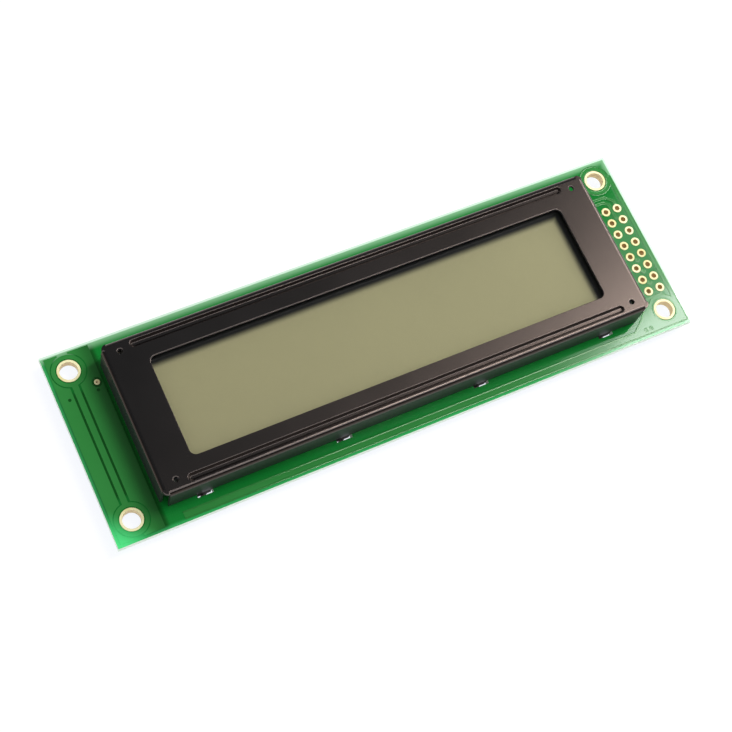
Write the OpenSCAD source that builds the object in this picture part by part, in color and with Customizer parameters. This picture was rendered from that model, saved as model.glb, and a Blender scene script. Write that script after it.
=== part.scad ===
// Character display module, 20 columns by 2 rows, reflective, without backlight.
// A liquid crystal cell is clamped on a circuit board by a pressed steel bezel
// whose tabs pass through slots in the board and are twisted on its back.
//
// Frame: millimetres, +Z up through the bezel, +X towards the connector end.
// The origin is the centre of the board in plan, at the tips of the twisted tabs.

/* [Board] */
// Length of the circuit board along X
board_l = 116; // [100:0.5:160]
// Width of the circuit board along Y
board_w = 37; // [34:0.5:44]
// Thickness of the laminate
board_t = 1.6; // [0.8:0.1:2.4]
// Thickness of the copper foil with its plating
foil_t = 0.05; // [0.035:0.005:0.1]
// Width left bare between the copper and the edges of the board
edge_clear = 0.6; // [0.3:0.1:1]
// Gap between areas of copper
copper_gap = 0.4; // [0.2:0.05:0.45]

/* [Mounting holes] */
// Distance of each mounting hole from the ends and the sides of the board
hole_inset = 4.0; // [3.6:0.1:4.4]
// Finished diameter of each mounting hole
hole_d = 3.3; // [2.5:0.1:3.9]
// Width of the bare plated land around each mounting hole
land_w = 0.45; // [0.3:0.05:0.8]
// Width of the masked copper ring around that land
ring_w = 0.95; // [0.6:0.05:1]

/* [Connector] */
// Distance of the connector's centre line from the end of the board
header_inset = 3.86; // [3.4:0.01:4.2]
// Distance of the connector's middle from the board's centre line
header_shift = 1.2; // [0:0.1:2]
// Pitch of the connector holes
pitch = 2.54; // [2:0.01:2.54]
// Number of connector holes in a row
header_n = 8; // [7:1:8]
// Finished diameter of a connector hole
header_d = 0.95; // [0.7:0.05:1.1]
// Width of the land around a connector hole
header_land_w = 0.4; // [0.3:0.05:0.5]

/* [Bezel] */
// Length of board left free beyond each end of the bezel
end_margin = 9.5; // [8:0.1:12]
// Width of board left free beyond each side of the bezel
side_margin = 3.8; // [3:0.1:5]
// Height of the bezel above the board
bezel_h = 6.4; // [5.5:0.1:8]
// Thickness of the steel sheet
sheet_t = 0.5; // [0.3:0.05:0.6]
// Outer radius of the bends between the face and the walls
bend_r = 0.8; // [0.7:0.05:1.2]
// Length left open between the walls at each corner
corner_gap = 1.2; // [0.9:0.1:2]
// Width of the face at each end of the window
face_end = 7.2; // [6:0.1:12]
// Width of the face on each side of the window
face_side = 5.05; // [4.5:0.05:6]
// Corner radius of the window
window_r = 1.2; // [0.5:0.1:3]
// Distance of the grooves' centre line from the outside of the long walls
groove_inset = 1.7; // [1.6:0.05:2]
// Distance of the grooves' ends from the ends of the bezel
groove_end = 5.1; // [4.5:0.1:12]
// Width of each groove at the face
groove_w = 1.4; // [1.2:0.05:1.6]
// Width of the flat floor of each groove
groove_floor = 0.55; // [0.4:0.05:0.8]
// Depth of each groove
groove_h = 0.35; // [0.2:0.05:0.4]
// Diameter of the pilot holes in the corners of the face
pilot_d = 1.0; // [0.6:0.1:1.4]
// Distance of the pilot holes from the ends of the bezel
pilot_end = 3.1; // [2.4:0.1:3.6]
// Distance of the pilot holes from the outside of the long walls
pilot_side = 2.25; // [2:0.05:3]

/* [Tabs] */
// Width of each tab
tab_w = 2.5; // [2:0.1:3]
// Length of tab left below the board
tab_drop = 1.9; // [1.7:0.1:3]
// Angle through which each tab end is twisted
tab_twist = 28; // [15:1:40]
// Distance of the inner tabs from the middle of the long walls
tab_inner_x = 13.9; // [8:0.1:20]
// Distance of the outer tabs from the ends of the bezel
tab_end = 7.9; // [6:0.1:12]
// Clearance of each slot at the ends of its tab
slot_end_play = 0.25; // [0.1:0.05:0.4]
// Clearance of each slot inside its tab
slot_in_play = 0.15; // [0.05:0.05:0.2]
// Clearance of each slot outside its tab
slot_out_play = 0.55; // [0.1:0.05:0.6]

/* [Display cell] */
// Thickness of each glass plate
glass_t = 1.1; // [0.7:0.1:1.2]
// Play of the glass inside the end walls
glass_end_play = 0.8; // [0.4:0.1:1.2]
// Play of the front glass inside the long walls
glass_side_play = 0.4; // [0.35:0.05:0.7]
// Width of each contact ledge of the front glass, which the rear glass leaves free
ledge_w = 2.2; // [2:0.1:2.4]
// Gap between the plates, filled by the liquid crystal
cell_gap = 0.05; // [0.02:0.01:0.1]
// Distance of the seal from the edges of the rear glass
seal_inset = 1.2; // [0.6:0.1:1.4]
// Width of the seal
seal_w = 1.0; // [0.6:0.1:1.2]
// Width of the filling port in the seal
port_w = 4; // [2:0.5:6]
// Thickness of the front polarizer film
front_film_t = 0.2; // [0.1:0.02:0.24]
// Distance that the front polarizer reaches under the face
front_film_lap = 1.5; // [0.8:0.1:2]
// Thickness of the rear polarizer film
rear_film_t = 0.15; // [0.1:0.01:0.2]
// Thickness of the reflector foil under the rear polarizer
reflector_t = 0.1; // [0.05:0.01:0.15]
// Distance of both rear films from the edges of the rear glass
rear_film_inset = 0.5; // [0.2:0.1:1]
// Width of each elastomer strip
strip_w = 1.8; // [1.5:0.1:1.9]
// Play between each elastomer strip and the moulded frame
strip_play = 0.15; // [0.05:0.05:0.3]
// Thickness of the rims and ribs of the moulded frame
rib_t = 1.6; // [1.2:0.1:2]
// Pitch of the contact fingers under the elastomer strips
finger_pitch = 1.5; // [1.3:0.1:2]
// Width of a contact finger
finger_w = 0.7; // [0.5:0.05:0.8]

/* [Back] */
// Diameter of the resin blob over the controller chip
controller_d = 14; // [12:0.5:15]
// Diameter of the resin blob over the segment driver chip
driver_d = 12.5; // [11:0.5:14]
// Height of the blobs
blob_h = 1.25; // [0.9:0.05:1.4]
// Distance of the controller from the connector
controller_shift = 37.1; // [36:0.1:40]
// Distance of the driver from the controller
driver_shift = 41; // [30:0.5:44]
// Length of a chip resistor or capacitor
chip_l = 3.2; // [2.8:0.1:3.4]
// Width of a chip resistor or capacitor
chip_w = 1.6; // [1.2:0.1:1.8]
// Length of the metal end of a chip
chip_end = 0.45; // [0.3:0.05:0.6]
// Height of a chip resistor
resistor_h = 0.6; // [0.4:0.05:0.7]
// Height of a chip capacitor
capacitor_h = 0.95; // [0.6:0.05:1.2]
// Distance of the bias resistors from the connector
chain_shift = 16.6; // [15:0.1:19]
// Pitch of the bias resistors
chain_pitch = 3.0; // [2.8:0.1:3.4]
// Width of the tracks
track_w = 0.3; // [0.2:0.05:0.4]
// Diameter of the vias' lands
via_land_d = 0.9; // [0.7:0.05:1]
// Diameter of the vias' holes
via_d = 0.4; // [0.3:0.05:0.5]

/* [Hidden] */
$fn = 48;
// Thickness of the plating in a hole
barrel_t = 0.04;
// levels
zb = tab_drop;
zt = zb + board_t;
z_face = zt + bezel_h;
z_front_top = z_face - groove_h - sheet_t;
z_front = z_front_top - glass_t;
z_rear_top = z_front - cell_gap;
z_rear = z_rear_top - glass_t;
z_film = z_rear - rear_film_t;
z_holder_top = z_film - reflector_t;
holder_h = z_holder_top - zt;
// board
edge_x = board_l / 2 - edge_clear;
edge_y = board_w / 2 - edge_clear;
hole_x = board_l / 2 - hole_inset;
hole_y = board_w / 2 - hole_inset;
land_d = hole_d + 2 * land_w;
ring_d = land_d + 2 * ring_w;
header_x = board_l / 2 - header_inset;
header_land_d = header_d + 2 * header_land_w;
// bezel
bezel_l = board_l - 2 * end_margin;
bezel_w = board_w - 2 * side_margin;
window_l = bezel_l - 2 * face_end;
window_w = bezel_w - 2 * face_side;
groove_y = bezel_w / 2 - groove_inset;
groove_l = bezel_l - 2 * groove_end;
pilot_x = bezel_l / 2 - pilot_end;
pilot_y = bezel_w / 2 - pilot_side;
wall_y = bezel_w / 2 - sheet_t / 2;
tab_outer_x = bezel_l / 2 - tab_end;
slot_l = tab_w + 2 * slot_end_play;
slot_w = sheet_t + slot_in_play + slot_out_play;
slot_y = wall_y + (slot_out_play - slot_in_play) / 2;
// cell
glass_l = bezel_l - 2 * (sheet_t + glass_end_play);
front_w = bezel_w - 2 * (sheet_t + glass_side_play);
rear_w = front_w - 2 * ledge_w;
strip_y = front_w / 2 - strip_w / 2;
strip_l = glass_l - 2 * seal_inset;
holder_w = 2 * (strip_y - strip_w / 2 - strip_play);
holder_l = glass_l;
finger_n = 2 * floor((strip_l - finger_w) / finger_pitch / 2);
// back
controller_x = header_x - controller_shift;
driver_x = controller_x - driver_shift;
chain_x = header_x - chain_shift;
via_n = finger_n / 2;
via_y = holder_w / 2 - rib_t / 2;
fan_y = via_y - 1.9;
// a test point beside the bezel, near the left rear mounting hole
test_via = [-bezel_l / 2 - 1.7, hole_y - 3.7];
test_land_d = 1.05;
// chips on the back: x, y and turn
resistor_at = [for (i = [0 : 4]) [chain_x, (i - 2.2) * chain_pitch, 0]];
timing_at = [[(controller_x + driver_x) / 2, fan_y - chip_w, 0]];
capacitor_at = [[chain_x + 2 * chip_l, -fan_y + chip_w, 90],
  [(controller_x + driver_x) / 2, -fan_y + chip_w, 0]];

// ---- helpers ----

// Rounded rectangle, centred
module plate2d(l, w, r) {
  square([l - 2 * r, w], center = true);
  square([l, w - 2 * r], center = true);
  for (sx = [-1, 1], sy = [-1, 1]) {
    translate([sx * (l / 2 - r), sy * (w / 2 - r)]) circle(r);
  }
}

// Unit normal of the leg that starts at point i of a route, and the route's corners moved to one side
function leg_normal(p, i) = let (d = p[i + 1] - p[i]) [-d[1], d[0]] / norm(d);
function mitre(a, b) = (a + b) / (1 + a * b);
function side(p, h) = [for (i = [0 : len(p) - 1])
  p[i] + h * mitre(leg_normal(p, max(i - 1, 0)), leg_normal(p, min(i, len(p) - 2)))];

// A track of even width along a route, with mitred corners and square ends
module run(points, w) {
  last = len(points) - 1;
  right = side(points, -w / 2);
  polygon(concat(side(points, w / 2), [for (i = [last : -1 : 0]) right[i]]));
}

module at_mounting_holes() {
  for (sx = [-1, 1], sy = [-1, 1]) {
    translate([sx * hole_x, sy * hole_y]) children();
  }
}

module at_header_holes() {
  for (c = [-1, 1], r = [0 : header_n - 1]) {
    translate([header_x + c * pitch / 2, header_row_y(r)]) children();
  }
}

// Y of a row of the connector, counted from the rear
function header_row_y(r) = ((header_n - 1) / 2 - r) * pitch - header_shift;

module at_tabs(y) {
  for (sx = [-1, 1], sy = [-1, 1], x = [tab_inner_x, tab_outer_x]) {
    translate([sx * x, sy * y, 0]) children();
  }
}

// X of one via of a row, which joins every second finger of the front to the back
function via_x(i) = (i - (via_n - 1) / 2) * 2 * finger_pitch;

module at_vias() {
  for (s = [-1, 1], i = [0 : via_n - 1]) {
    translate([via_x(i), s * via_y]) children();
  }
}

// ---- board ----

module circuit_board() {
  color([0.10, 0.42, 0.17])
  difference() {
    translate([-board_l / 2, -board_w / 2, zb]) cube([board_l, board_w, board_t]);
    translate([0, 0, zb - 1]) linear_extrude(board_t + 2) {
      at_mounting_holes() circle(d = hole_d + 2 * barrel_t);
      at_header_holes() circle(d = header_d + 2 * barrel_t);
      at_vias() circle(d = via_d + 2 * barrel_t);
      translate(test_via) circle(d = via_d + 2 * barrel_t);
      at_tabs(slot_y) square([slot_l, slot_w], center = true);
    }
  }
}

// A plated hole: land on both faces and the barrel between them
module plated_hole(d, land) {
  difference() {
    union() {
      translate([0, 0, zb - foil_t]) cylinder(d = land, h = foil_t);
      translate([0, 0, zb - foil_t]) cylinder(d = d + 2 * barrel_t, h = board_t + 2 * foil_t);
      translate([0, 0, zt]) cylinder(d = land, h = foil_t);
    }
    translate([0, 0, zb - 1]) cylinder(d = d, h = board_t + 2);
  }
}

module mounting_hole_lands() {
  color([0.93, 0.80, 0.55]) at_mounting_holes() plated_hole(hole_d, land_d);
}

module header_hole_lands() {
  color([0.93, 0.80, 0.55]) at_header_holes() plated_hole(header_d, header_land_d);
}

module test_via_land() {
  color([0.90, 0.74, 0.50]) translate([test_via[0], test_via[1], 0]) plated_hole(via_d, test_land_d);
}

// Rows of vias that join the fingers on the front to the tracks on the back
module segment_vias() {
  color([0.13, 0.52, 0.22]) at_vias() plated_hole(via_d, via_land_d);
}

// Outline of everything that the masked copper has to keep clear of
module copper_keepouts() {
  at_mounting_holes() circle(d = land_d + copper_gap);
  at_header_holes() circle(d = header_land_d + copper_gap);
  at_vias() circle(d = via_land_d);
  translate(test_via) circle(d = test_land_d + 2 * copper_gap);
  at_tabs(slot_y) square([slot_l + copper_gap, slot_w + 3 * copper_gap], center = true);
}

// Foil in the shape of a flat outline
module foil() {
  linear_extrude(foil_t) children();
}

// Copper on the front, under the solder mask
module front_copper() {
  fence_x = bezel_l / 2 + 0.7;
  link_w = 1.1;
  bus_y = edge_y - 0.05;
  bus_w = 1.2;
  side_track_w = track_w * 1.3;
  in_x = header_x - pitch / 2;
  out_x = header_x + pitch / 2;
  last_y = header_row_y(header_n - 1);
  color([0.13, 0.52, 0.22])
  translate([0, 0, zt])
  difference() {
    union() {
      // rings around the mounting holes, the left two joined by a link
      foil() at_mounting_holes() circle(d = ring_d);
      foil() translate([-hole_x - link_w / 2, -hole_y]) square([link_w, 2 * hole_y]);
      // areas on both sides of that link
      foil() difference() {
        union() {
          translate([-edge_x, -edge_y]) square([edge_x - hole_x - link_w / 2 - copper_gap, 2 * edge_y]);
          translate([-hole_x + link_w / 2 + copper_gap, -edge_y])
            square([hole_x - link_w / 2 - copper_gap - fence_x, 2 * edge_y]);
        }
        at_mounting_holes() circle(d = ring_d + copper_gap);
      }
      // supply bus along the front edge, widening to the right front mounting hole
      foil() polygon([[-bezel_l / 2 + 3, -bus_y], [-bezel_l / 2 + 3, -bus_y + bus_w],
        [bezel_l / 2 - 2.3, -bus_y + bus_w], [bezel_l / 2, -bezel_w / 2 - 0.2],
        [fence_x + 1.5, -bezel_w / 2 + 2.1], [hole_x, -hole_y + 2.3],
        [edge_x, -hole_y + 1.9], [edge_x, -bus_y]]);
      // strip along the right edge
      foil() translate([edge_x - 0.7, -hole_y]) square([0.7, 2 * hole_y]);
      // tracks from the cell to the connector
      foil() {
        for (r = [0 : header_n - 1]) {
          run([[fence_x, header_row_y(r)], [in_x, header_row_y(r)]], side_track_w);
        }
        run([[fence_x, header_row_y(0) + 3], [out_x - 1.4, header_row_y(0) + 3],
          [out_x, header_row_y(0) + 1.6], [out_x, header_row_y(0)]], side_track_w);
      }
      foil() run([[fence_x, header_row_y(0) + 2.05], [in_x + 0.4, header_row_y(0) + 2.05],
        [header_x, header_row_y(0) + 1.2], [header_x, header_row_y(1) + 0.8],
        [out_x, header_row_y(1)]], side_track_w);
      // short stubs that end between the two columns of holes
      for (r = [header_n - 4 : header_n - 2]) {
        foil() run([[in_x, header_row_y(r)], [header_x, header_row_y(r) - pitch / 2]], 2 * track_w);
      }
      // the last hole's track, which meets the mounting hole's ring and turns back under the bezel
      foil() run([[out_x, last_y], [out_x - 0.5, last_y - 1.4], [fence_x, last_y - 1.4]], side_track_w);
    }
    foil() copper_keepouts();
    // two vias under the mask in the supply bus, and two in the left areas
    foil() for (x = [0.1, 1.2]) {
      translate([bezel_l / 2 + x, -bus_y + 0.9]) circle(d = 1.5 * copper_gap);
    }
    foil() for (x = [-hole_x - 1.8, -bezel_l / 2 - 2]) {
      translate([x, hole_y - land_d - ring_w]) circle(d = 1.5 * copper_gap);
    }
  }
}

// Bare fingers on the front, one under each contact of the cell
module contact_fingers() {
  color([0.90, 0.76, 0.45])
  for (s = [-1, 1], i = [0 : finger_n - 1]) {
    translate([(i - (finger_n - 1) / 2) * finger_pitch - finger_w / 2, s * strip_y - strip_w / 2, zt])
      cube([finger_w, strip_w, foil_t]);
  }
}

// ---- bezel ----

// Section of the face with its two walls, from which each pair of walls is drawn
module bezel_section(half, h) {
  difference() {
    union() {
      translate([-half + bend_r, 0]) square([2 * (half - bend_r), h]);
      translate([-half, 0]) square([2 * half, h - bend_r]);
      for (s = [-1, 1]) {
        translate([s * (half - bend_r), h - bend_r]) circle(bend_r);
      }
    }
    union() {
      translate([-half + bend_r, -1]) square([2 * (half - bend_r), h + 1 - sheet_t]);
      translate([-half + sheet_t, -1]) square([2 * (half - sheet_t), h + 1 - bend_r]);
      for (s = [-1, 1]) {
        translate([s * (half - bend_r), h - bend_r]) circle(bend_r - sheet_t);
      }
    }
  }
}

// A groove's punch, or grown by the sheet, the bulge that it leaves below:
// a flat nose with sloping flanks and round ends
module groove_tool(grow) {
  flank = (groove_w - groove_floor) / 2 / groove_h;
  reach = (groove_l - groove_w) / 2;
  h = grow + groove_h + 0.3;
  nose = groove_floor / 2 + 0.36 * grow;
  translate([0, 0, z_face - groove_h - grow]) {
    translate([-reach, 0, 0]) rotate([90, 0, 90]) linear_extrude(2 * reach)
      polygon([[-nose, 0], [nose, 0], [nose + flank * h, h], [-nose - flank * h, h]]);
    for (s = [-1, 1]) {
      translate([s * reach, 0, 0]) cylinder(r1 = nose, r2 = nose + flank * h, h = h);
    }
  }
}

// One tab: straight through its slot, then twisted on the back of the board
module tab() {
  translate([-tab_w / 2, -sheet_t / 2, zb]) cube([tab_w, sheet_t, board_t + 1]);
  linear_extrude(height = zb, twist = -tab_twist, slices = 8, segments = 4)
    rotate(tab_twist) square([tab_w, sheet_t], center = true, $fn = 4);
}

module bezel() {
  long_l = bezel_l - 2 * corner_gap;
  short_l = bezel_w - 2 * corner_gap;
  color([0.14, 0.14, 0.14])
  difference() {
    union() {
      difference() {
        union() {
          // long walls with the face between them
          translate([-long_l / 2, 0, zt]) rotate([90, 0, 90])
            linear_extrude(long_l) bezel_section(bezel_w / 2, bezel_h);
          // end walls
          translate([0, short_l / 2, zt]) rotate([90, 0, 0])
            linear_extrude(short_l) bezel_section(bezel_l / 2, bezel_h);
          // corners of the face between the bends
          for (sx = [-1, 1], sy = [-1, 1]) {
            translate([sx * long_l / 2, sy * short_l / 2, z_face - sheet_t])
              intersection() {
                cylinder(r = corner_gap - 0.15, h = sheet_t);
                translate([sx > 0 ? 0 : -2, sy > 0 ? 0 : -2, -1]) cube([2, 2, 3]);
              }
          }
        }
        // window
        translate([0, 0, z_face - sheet_t - 0.001])
          linear_extrude(sheet_t + 1) plate2d(window_l, window_w, window_r);
      }
      for (s = [-1, 1]) {
        intersection() {
          translate([0, s * groove_y, 0]) groove_tool(sheet_t);
          translate([-bezel_l / 2, s > 0 ? 0 : 0.05 + sheet_t - bezel_w / 2, z_face - groove_h - sheet_t - 1])
            cube([bezel_l, bezel_w / 2 - sheet_t - 0.05, groove_h + 1 + sheet_t / 2]);
        }
      }
      at_tabs(wall_y) tab();
    }
    for (s = [-1, 1]) {
      translate([0, s * groove_y, 0]) groove_tool(0);
    }
    for (sx = [-1, 1], sy = [-1, 1]) {
      translate([sx * pilot_x, sy * pilot_y, z_face - sheet_t - 1]) cylinder(d = pilot_d, h = sheet_t + 2);
    }
  }
}

// ---- display cell ----

module front_glass() {
  color([0.80, 0.84, 0.80, 0.6])
  translate([-glass_l / 2, -front_w / 2, z_front]) cube([glass_l, front_w, glass_t]);
}

module rear_glass() {
  color([0.80, 0.84, 0.80, 0.6])
  translate([-glass_l / 2, -rear_w / 2, z_rear]) cube([glass_l, rear_w, glass_t]);
}

// Line of epoxy that joins the plates, open at the filling port
module cell_seal() {
  color([0.55, 0.55, 0.45])
  translate([0, 0, z_rear_top]) linear_extrude(cell_gap)
  difference() {
    square([glass_l - 2 * seal_inset, rear_w - 2 * seal_inset], center = true);
    square([glass_l - 2 * seal_inset - 2 * seal_w, rear_w - 2 * seal_inset - 2 * seal_w], center = true);
    translate([-glass_l / 2, -port_w / 2]) square([seal_inset + seal_w + 1, port_w]);
  }
}

module liquid_crystal() {
  color([0.60, 0.61, 0.48, 0.8])
  translate([0, 0, z_rear_top]) linear_extrude(cell_gap)
  square([glass_l - 2 * seal_inset - 2 * seal_w, rear_w - 2 * seal_inset - 2 * seal_w], center = true);
}

// Resin that closes the filling port: a strip in the gap and a bead on the edge of the plates
module fill_port_plug() {
  color([0.75, 0.65, 0.35])
  union() {
    translate([-glass_l / 2 - 0.1, -port_w / 2, z_rear_top])
      cube([seal_inset + seal_w + 0.1, port_w, cell_gap]);
    translate([-glass_l / 2, 0, z_rear_top + cell_gap / 2]) rotate([90, 0, 0])
      intersection() {
        cylinder(r = 0.5, h = port_w + 1, center = true);
        translate([-1, -1, -5]) cube([1, 2, 10]);
      }
  }
}

module front_polarizer() {
  color([0.62, 0.64, 0.50, 0.8])
  translate([-window_l / 2 - front_film_lap, -window_w / 2 - front_film_lap, z_front_top])
    cube([window_l + 2 * front_film_lap, window_w + 2 * front_film_lap, front_film_t]);
}

// One of the two films behind the rear glass
module rear_film(z, t) {
  l = glass_l - 2 * rear_film_inset;
  w = rear_w - 2 * rear_film_inset;
  translate([-l / 2, -w / 2, z]) cube([l, w, t]);
}

module rear_polarizer() {
  color([0.60, 0.61, 0.48]) rear_film(z_film, rear_film_t);
}

module reflector() {
  color([0.72, 0.73, 0.66]) rear_film(z_film - reflector_t, reflector_t);
}

// Striped conductive rubber between the board and the ledges of the front glass
module elastomer_strips() {
  color([0.25, 0.25, 0.27])
  for (s = [-1, 1]) {
    translate([-strip_l / 2, s * strip_y - strip_w / 2, zt + foil_t])
      cube([strip_l, strip_w, z_front - zt - foil_t]);
  }
}

// Moulded frame that carries the cell on the board
module holder_frame() {
  bays = 4;
  bay_l = (holder_l - rib_t * (bays + 1)) / bays;
  bay_w = (holder_w - 3 * rib_t) / 2;
  color([0.88, 0.88, 0.84])
  translate([-holder_l / 2, -holder_w / 2, zt])
  difference() {
    cube([holder_l, holder_w, holder_h]);
    for (i = [0 : bays - 1], j = [0, 1]) {
      translate([rib_t + i * (bay_l + rib_t), rib_t + j * (bay_w + rib_t), -1])
        cube([bay_l, bay_w, holder_h + 2]);
    }
    // the rims stand clear of the vias in the board
    for (s = [-1, 1]) {
      translate([0, holder_w / 2 + s * via_y - via_land_d, -1])
        cube([holder_l, 2 * via_land_d, 1 + 2 * foil_t]);
    }
  }
}

// ---- back of the board ----

// A drop of black resin over a chip: a low dome with a small upright edge where it stopped flowing
module blob(d, h) {
  edge = 0.15;
  rise = h - edge;
  r = (d * d / 4 + rise * rise) / (2 * rise);
  rotate([180, 0, 0]) rotate_extrude($fn = 96)
    intersection() {
      union() {
        square([d / 2, edge]);
        translate([0, h - r]) circle(r, $fn = 720);
      }
      square([d / 2, h + 1]);
    }
}

module controller_blob() {
  color([0.06, 0.06, 0.06]) translate([controller_x, 0, zb]) blob(controller_d, blob_h);
}

module driver_blob() {
  color([0.06, 0.06, 0.06]) translate([driver_x, 0, zb]) blob(driver_d, blob_h);
}

module at_chips(list) {
  for (p = list) {
    translate([p[0], p[1], zb - foil_t]) rotate(p[2]) children();
  }
}

module chip_body(h) {
  translate([-chip_l / 2 + chip_end, -chip_w / 2, -h]) cube([chip_l - 2 * chip_end, chip_w, h]);
}

module chip_ends(h) {
  for (x = [-chip_l / 2, chip_l / 2 - chip_end]) {
    translate([x, -chip_w / 2, -h]) cube([chip_end, chip_w, h]);
  }
}

module chip_resistors() {
  color([0.12, 0.12, 0.13]) at_chips(concat(resistor_at, timing_at)) chip_body(resistor_h);
}

module chip_capacitors() {
  color([0.62, 0.50, 0.36]) at_chips(capacitor_at) chip_body(capacitor_h);
}

module chip_terminals() {
  color([0.75, 0.75, 0.74]) at_chips(concat(resistor_at, timing_at)) chip_ends(resistor_h);
  color([0.75, 0.75, 0.74]) at_chips(capacitor_at) chip_ends(capacitor_h);
}

// Solder that climbs each terminal from its land
module fillet(h) {
  rise = h * 0.75;
  for (s = [-1, 1]) {
    translate([s * chip_l / 2, chip_w / 2, 0]) rotate([90, 0, 0]) linear_extrude(chip_w)
      polygon([[0, 0], [s * 0.7, 0], [s * 0.3, -rise * 0.35], [0, -rise]]);
  }
}

module solder_fillets() {
  color([0.78, 0.78, 0.77]) at_chips(concat(resistor_at, timing_at)) fillet(resistor_h);
  color([0.78, 0.78, 0.77]) at_chips(capacitor_at) fillet(capacitor_h);
}

// Tracks that fan out from a blob to its share of one row of vias
module fan(x, d, first, last, s) {
  n = last - first;
  for (i = [first : last]) {
    start = (i - first - n / 2) / n * d * 0.8;
    run([[x + start, s * d / 5], [via_x(i), s * fan_y], [via_x(i), s * via_y]], track_w);
  }
}

// Lands and tracks on the back
module back_copper() {
  half = floor(via_n / 2);
  turn_x = header_x - 8;
  bend_x = controller_x + controller_d / 2 + 7;
  color([0.13, 0.52, 0.22])
  translate([0, 0, zb - foil_t])
  difference() {
    union() {
      foil() at_mounting_holes() circle(d = ring_d);
      // chip lands
      foil() for (p = concat(resistor_at, timing_at, capacitor_at)) {
        translate([p[0], p[1]]) rotate(p[2]) for (s = [-1, 1]) {
          translate([s * (chip_l - chip_end) / 2 - 0.85, -chip_w / 2 - 0.1]) square([1.7, chip_w + 0.2]);
        }
      }
      // segment lines
      for (s = [-1, 1]) {
        foil() fan(driver_x, driver_d, 0, half - 1, s);
        foil() fan(controller_x, controller_d, half, via_n - 4, s);
      }
      // lines between the two chips
      foil() for (i = [-2 : 2]) {
        run([[driver_x, i * 1.2], [controller_x, i * 1.2]], track_w);
      }
      // data lines to the connector
      foil() for (i = [0 : 4]) {
        y = (i - 2) * 1.2;
        run([[controller_x, y], [bend_x - 0.7 * i, y], [bend_x - 0.7 * i, fan_y - 2 + 0.7 * i],
          [turn_x + 0.7 * i, fan_y - 2 + 0.7 * i], [turn_x + 0.7 * i, header_row_y(5 - i)],
          [header_x - pitch / 2, header_row_y(5 - i)]], track_w);
      }
      // chain of the bias resistors
      foil() for (i = [0 : 3]) {
        x = chain_x + (i % 2 == 0 ? 1 : -1) * (chip_l - chip_end) / 2;
        translate([x - 0.8 * track_w, resistor_at[i][1]]) square([1.6 * track_w, chain_pitch]);
      }
      foil() run([[chain_x - chip_l / 2, resistor_at[0][1]], [bend_x, resistor_at[0][1]], [bend_x, -fan_y],
        [header_x - pitch / 2, -fan_y]], 1.6 * track_w);
      foil() run([[capacitor_at[0][0], -fan_y + 3], [capacitor_at[0][0], header_row_y(6)],
        [header_x - pitch / 2, header_row_y(6)]], 1.6 * track_w);
    }
    foil() copper_keepouts();
    // the tracks end at the blobs, which lie on the board itself
    foil() translate([controller_x, 0]) circle(d = controller_d);
    foil() translate([driver_x, 0]) circle(d = driver_d);
  }
}

circuit_board();
bezel();
front_glass();
rear_glass();
cell_seal();
liquid_crystal();
fill_port_plug();
front_polarizer();
rear_polarizer();
reflector();
elastomer_strips();
holder_frame();
contact_fingers();
mounting_hole_lands();
header_hole_lands();
test_via_land();
front_copper();
back_copper();
segment_vias();
controller_blob();
driver_blob();
chip_resistors();
chip_capacitors();
chip_terminals();
solder_fillets();
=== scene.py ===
import math

import bmesh
import bpy
from mathutils import Euler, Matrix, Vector


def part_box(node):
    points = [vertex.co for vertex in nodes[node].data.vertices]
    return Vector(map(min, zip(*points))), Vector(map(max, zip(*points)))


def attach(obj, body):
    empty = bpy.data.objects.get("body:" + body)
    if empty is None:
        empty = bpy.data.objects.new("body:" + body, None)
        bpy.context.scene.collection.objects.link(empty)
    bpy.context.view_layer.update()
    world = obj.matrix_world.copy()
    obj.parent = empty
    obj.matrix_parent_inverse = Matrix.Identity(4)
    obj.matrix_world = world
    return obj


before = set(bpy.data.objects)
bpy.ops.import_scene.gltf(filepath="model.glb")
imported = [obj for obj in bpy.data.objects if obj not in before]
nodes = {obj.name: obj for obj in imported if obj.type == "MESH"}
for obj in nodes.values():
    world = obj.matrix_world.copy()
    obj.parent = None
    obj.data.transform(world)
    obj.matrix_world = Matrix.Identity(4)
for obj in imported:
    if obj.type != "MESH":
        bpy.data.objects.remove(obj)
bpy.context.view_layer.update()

# ---- The laminate ----
# A board of woven glass and epoxy, 1.6 mm thick, cut and punched out of a larger panel.
# Green solder mask is printed on both faces; the cut edges, holes and slots show bare laminate.
MM = 0.001


def shade(red, green, blue):
    """A colour given in everyday 0-255 shades, as the shader's linear numbers."""
    def straight(v):
        v = v / 255
        return v / 12.92 if v <= 0.04045 else ((v + 0.055) / 1.055) ** 2.4
    return (straight(red), straight(green), straight(blue), 1.0)


def lay(tree, kind, sockets=None, **settings):
    """Adds a node. A socket gets a link where it is given another node's output, else a plain value."""
    node = tree.nodes.new(kind)
    for name, value in settings.items():
        setattr(node, name, value)
    for name, value in (sockets or {}).items():
        if isinstance(value, bpy.types.NodeSocket):
            tree.links.new(value, node.inputs[name])
        else:
            node.inputs[name].default_value = value
    return node


def spaced(values):
    """Keywords hold an underscore where the name of a socket has a space."""
    return {name.replace("_", " "): value for name, value in values.items()}


def finish(name, **plain):
    """A material of one Principled shader, with its plain values on the shader's own sockets."""
    made = bpy.data.materials.new(name)
    made.use_nodes = True
    tree = made.node_tree
    tree.nodes.clear()
    shader = lay(tree, "ShaderNodeBsdfPrincipled", spaced(plain))
    lay(tree, "ShaderNodeOutputMaterial", {"Surface": shader.outputs["BSDF"]})
    return made, tree, shader


def feed(tree, shader, **varying):
    """Links what changes over the surface to the shader's sockets."""
    for name, value in spaced(varying).items():
        tree.links.new(value, shader.inputs[name])


def coat(made, *pieces):
    """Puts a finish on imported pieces."""
    for name in pieces:
        data = nodes[name].data
        data.materials.clear()
        data.materials.append(made)


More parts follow.
